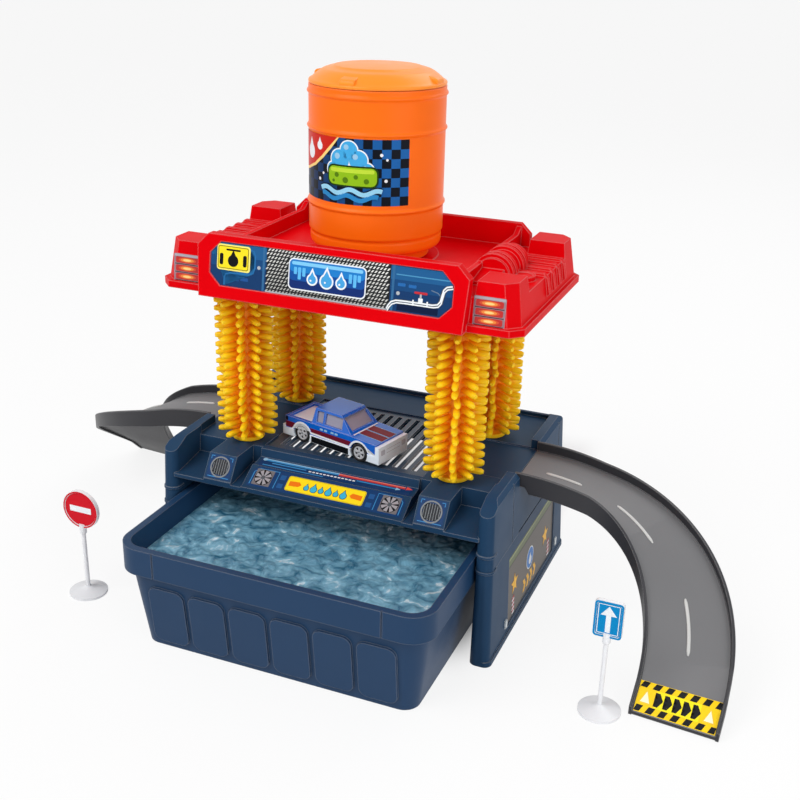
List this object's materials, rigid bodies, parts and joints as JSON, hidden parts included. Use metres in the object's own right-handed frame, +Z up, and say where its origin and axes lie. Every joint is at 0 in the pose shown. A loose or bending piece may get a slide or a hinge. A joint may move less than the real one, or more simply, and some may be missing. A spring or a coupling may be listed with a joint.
{
  "type": "toy car wash playset",
  "caption": "Toy car wash on a housing with a pull-out water tub, bristle rollers, a roof with a water tank, curved ramps, road signs and a small pickup",
  "frame": {"origin": "middle of the whole set's footprint, on the floor", "axes": "+X along the wash lane to the right ramp, +Y to the back away from the tub, +Z up"},
  "size_m": [0.4632, 0.2234, 0.3073],
  "materials": {
    "navy_plastic": "satin moulded",
    "red_plastic": "glossy moulded",
    "orange_plastic": "glossy blow-moulded",
    "yellow_bristle": "soft satin",
    "yellow_plastic": "satin",
    "ramp_plastic": "satin grey",
    "sign_white": "glossy white",
    "car_paint": "glossy enamel",
    "car_white": "glossy white",
    "car_glass": "tinted clear plastic",
    "tyre_black": "matt black",
    "steel": "bright zinc",
    "clear_stud": "clear",
    "seal_white": "soft white"
  },
  "bodies": {
    "base": {"deck_housing": "navy_plastic", "deck_grate": "navy_plastic", "side_stand_left": "navy_plastic", "side_stand_right": "navy_plastic", "side_studs": "clear_stud", "base_screws": "steel", "canopy_shell": "red_plastic", "ceiling_panel": "red_plastic", "canopy_screws": "steel", "outlet_seal": "seal_white", "post_front_left": "yellow_plastic", "post_front_right": "yellow_plastic", "post_rear_left": "yellow_plastic", "post_rear_right": "yellow_plastic"},
    "tub": {"wash_tub": "navy_plastic"},
    "tank": {"tank_shell": "orange_plastic", "outlet_cap": "orange_plastic"},
    "lid": {"tank_lid": "orange_plastic"},
    "right_ramp": {"ramp_right": "ramp_plastic"},
    "left_ramp": {"ramp_left": "ramp_plastic"},
    "round_sign": {"round_sign_stand": "sign_white", "round_sign_plate": "sign_white"},
    "arrow_sign": {"arrow_sign_stand": "sign_white", "arrow_sign_plate": "sign_white"},
    "car": {"car_chassis": "car_white", "car_body": "car_paint", "car_windows": "car_glass", "car_bed": "car_white"},
    "front_wheels": {"front_axle": "steel", "front_wheel_left": "tyre_black", "front_wheel_right": "tyre_black"},
    "rear_wheels": {"rear_axle": "steel", "rear_wheel_left": "tyre_black", "rear_wheel_right": "tyre_black"},
    "front_left_brush": {"brush_front_left": "yellow_bristle"},
    "front_right_brush": {"brush_front_right": "yellow_bristle"},
    "rear_left_brush": {"brush_rear_left": "yellow_bristle"},
    "rear_right_brush": {"brush_rear_right": "yellow_bristle"}
  },
  "joints": [
    {"name": "tub_slide", "type": "slide", "parent": "base", "child": "tub", "axis": [0, -1, 0], "range_m": [-0.062, 0.02]},
    {"name": "tank_lift", "type": "slide", "parent": "base", "child": "tank", "axis": [0, 0, 1], "range_m": [0, 0.03]},
    {"name": "lid_lift", "type": "slide", "parent": "tank", "child": "lid", "axis": [0, 0, 1], "range_m": [0, 0.02]},
    {"name": "right_ramp_lift", "type": "slide", "parent": "base", "child": "right_ramp", "axis": [0, 0, 1], "range_m": [0, 0.02]},
    {"name": "left_ramp_lift", "type": "slide", "parent": "base", "child": "left_ramp", "axis": [0, 0, 1], "range_m": [0, 0.02]},
    {"name": "round_sign_lift", "type": "slide", "parent": "base", "child": "round_sign", "axis": [0, 0, 1], "range_m": [0, 0.02]},
    {"name": "arrow_sign_lift", "type": "slide", "parent": "base", "child": "arrow_sign", "axis": [0, 0, 1], "range_m": [0, 0.02]},
    {"name": "car_drive", "type": "slide", "parent": "base", "child": "car", "axis": [0.9703, -0.2419, 0], "range_m": [-0.003, 0.009]},
    {"name": "front_left_brush_spin", "type": "hinge", "parent": "base", "child": "front_left_brush", "pos_m": [-0.0654, -0.00746, 0.1395], "axis": [0, 0, 1], "continuous": true},
    {"name": "front_right_brush_spin", "type": "hinge", "parent": "base", "child": "front_right_brush", "pos_m": [0.0654, -0.00746, 0.1395], "axis": [0, 0, 1], "continuous": true},
    {"name": "rear_left_brush_spin", "type": "hinge", "parent": "base", "child": "rear_left_brush", "pos_m": [-0.0654, 0.05914, 0.1395], "axis": [0, 0, 1], "continuous": true},
    {"name": "rear_right_brush_spin", "type": "hinge", "parent": "base", "child": "rear_right_brush", "pos_m": [0.0654, 0.05914, 0.1395], "axis": [0, 0, 1], "continuous": true},
    {"name": "front_wheels_turn", "type": "hinge", "parent": "car", "child": "front_wheels", "pos_m": [0.01186, 0.00233, 0.0956], "axis": [0.2419, 0.9703, 0], "continuous": true},
    {"name": "rear_wheels_turn", "type": "hinge", "parent": "car", "child": "rear_wheels", "pos_m": [-0.02986, 0.01274, 0.0956], "axis": [0.2419, 0.9703, 0], "continuous": true}
  ],
  "couplings": [
    {"joint": "front_wheels_turn", "follows": "car_drive", "rad_per_m": 178.57},
    {"joint": "rear_wheels_turn", "follows": "car_drive", "rad_per_m": 178.57}
  ]
}
